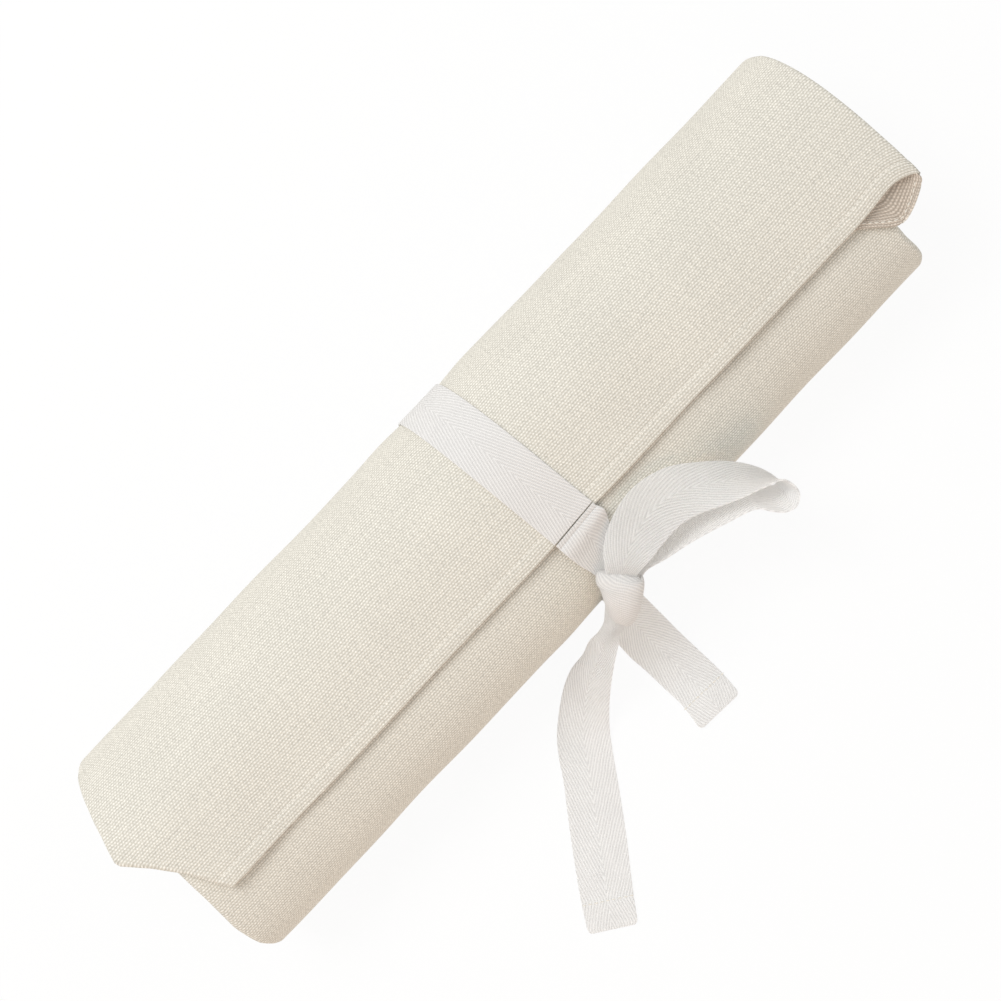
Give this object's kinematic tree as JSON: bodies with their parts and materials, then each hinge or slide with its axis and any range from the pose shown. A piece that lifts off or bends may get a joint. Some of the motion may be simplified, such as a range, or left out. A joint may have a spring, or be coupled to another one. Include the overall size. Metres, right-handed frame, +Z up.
{
  "type": "knife roll",
  "caption": "Canvas knife roll, rolled up and tied round the middle with cotton tape in a half bow; it unrolls to lined panels with knife slots and a fold-over cover.",
  "frame": {"origin": "middle of the flat that the roll lies on, under its tape", "axes": "+X along the roll towards the end where the cover folds over, +Y away from the knot, +Z up"},
  "size_m": [0.4587, 0.2445, 0.0897],
  "materials": {
    "canvas": "plain weave duck",
    "lining": "plain weave duck",
    "tape": "herringbone twill"
  },
  "bodies": {
    "flap": {"canvas_flap": "canvas", "lining_flap": "lining", "cover_flap": "canvas", "tape_flap": "tape"},
    "upper_left": {"canvas_upper_left": "canvas", "lining_upper_left": "lining", "cover_upper_left": "canvas", "tape_upper_left": "tape"},
    "left": {"canvas_left": "canvas", "lining_left": "lining", "slot_left": "canvas", "cover_left": "canvas", "tape_left": "tape"},
    "lower_left": {"canvas_lower_left": "canvas", "lining_lower_left": "lining", "slot_lower_left": "canvas", "cover_lower_left": "canvas", "tape_lower_left": "tape"},
    "base": {"canvas_base": "canvas", "lining_base": "lining", "slot_base": "canvas", "cover_base": "canvas", "tape_base": "tape"},
    "lower_right": {"canvas_lower_right": "canvas", "lining_lower_right": "lining", "slot_lower_right": "canvas", "cover_lower_right": "canvas", "tape_lower_right": "tape"},
    "right": {"canvas_right": "canvas", "lining_right": "lining", "slot_right": "canvas", "cover_right": "canvas", "tape_right": "tape"},
    "upper_right": {"canvas_upper_right": "canvas", "lining_upper_right": "lining", "slot_upper_right": "canvas", "cover_upper_right": "canvas"},
    "inner_top": {"canvas_inner_top": "canvas", "lining_inner_top": "lining", "slot_inner_top": "canvas", "cover_inner_top": "canvas"},
    "inner_left": {"canvas_inner_left": "canvas", "lining_inner_left": "lining", "slot_inner_left": "canvas", "cover_inner_left": "canvas"},
    "inner_end": {"canvas_inner_end": "canvas", "lining_inner_end": "lining", "slot_inner_end": "canvas", "cover_inner_end": "canvas"},
    "bow": {"tie_front": "tape", "tie_knot": "tape"},
    "loop": {"tie_loop": "tape"},
    "long_tail": {"long_tail": "tape"},
    "short_tail": {"short_tail": "tape"}
  },
  "joints": [
    {"name": "unroll", "type": "hinge", "parent": "base", "child": "lower_right", "pos_m": [0, -0.03081, 0.00255], "axis": [1, 0, 0], "range_deg": [0, 31.18]},
    {"name": "fold_right", "type": "hinge", "parent": "lower_right", "child": "right", "pos_m": [0, -0.05996, 0.02615], "axis": [1, 0, 0], "range_deg": [0, 64.46]},
    {"name": "fold_upper_right", "type": "hinge", "parent": "right", "child": "upper_right", "pos_m": [0, -0.05544, 0.05988], "axis": [1, 0, 0], "range_deg": [0, 51.9]},
    {"name": "fold_inner_top", "type": "hinge", "parent": "upper_right", "child": "inner_top", "pos_m": [0, -0.02317, 0.07885], "axis": [1, 0, 0], "range_deg": [0, 38.91]},
    {"name": "fold_inner_left", "type": "hinge", "parent": "inner_top", "child": "inner_left", "pos_m": [0, 0.02148, 0.07221], "axis": [1, 0, 0], "range_deg": [0, 52.05]},
    {"name": "fold_inner_end", "type": "hinge", "parent": "inner_left", "child": "inner_end", "pos_m": [0, 0.03523, 0.04791], "axis": [1, 0, 0], "range_deg": [0, 70.96]},
    {"name": "fold_lower_left", "type": "hinge", "parent": "base", "child": "lower_left", "pos_m": [0, 0.02881, 0.00255], "axis": [-1, 0, 0], "range_deg": [0, 31.1]},
    {"name": "fold_left", "type": "hinge", "parent": "lower_left", "child": "left", "pos_m": [0, 0.05808, 0.02601], "axis": [-1, 0, 0], "range_deg": [0, 57.1]},
    {"name": "fold_upper_left", "type": "hinge", "parent": "left", "child": "upper_left", "pos_m": [0, 0.05808, 0.06099], "axis": [-1, 0, 0], "range_deg": [0, 51.3]},
    {"name": "fold_flap", "type": "hinge", "parent": "upper_left", "child": "flap", "pos_m": [0, 0.02881, 0.08445], "axis": [-1, 0, 0], "range_deg": [0, 37.4]},
    {"name": "tie_drop", "type": "hinge", "parent": "flap", "child": "bow", "pos_m": [0, -0.028, 0.0862], "axis": [-1, 0, 0], "range_deg": [0, 27]},
    {"name": "loop_swing", "type": "hinge", "parent": "bow", "child": "loop", "pos_m": [0.02, -0.065, 0.065], "axis": [0, 0, -1], "range_deg": [0, 25]},
    {"name": "long_tail_swing", "type": "hinge", "parent": "bow", "child": "long_tail", "pos_m": [-0.0085, -0.0755, 0.043], "axis": [0, 0, 1], "range_deg": [-12, 15]},
    {"name": "short_tail_swing", "type": "hinge", "parent": "bow", "child": "short_tail", "pos_m": [0.009, -0.075, 0.046], "axis": [0, 0, 1], "range_deg": [-12, 12]}
  ],
  "couplings": [
    {"joint": "fold_right", "follows": "unroll", "ratio": 2.0673},
    {"joint": "fold_upper_right", "follows": "unroll", "ratio": 1.6645},
    {"joint": "fold_inner_top", "follows": "unroll", "ratio": 1.2479},
    {"joint": "fold_inner_left", "follows": "unroll", "ratio": 1.6691},
    {"joint": "fold_inner_end", "follows": "unroll", "ratio": 2.2755},
    {"joint": "fold_lower_left", "follows": "unroll", "ratio": 0.99734},
    {"joint": "fold_left", "follows": "unroll", "ratio": 1.8312},
    {"joint": "fold_upper_left", "follows": "unroll", "ratio": 1.6452},
    {"joint": "fold_flap", "follows": "unroll", "ratio": 1.1994},
    {"joint": "tie_drop", "follows": "unroll", "ratio": 0.86588}
  ]
}
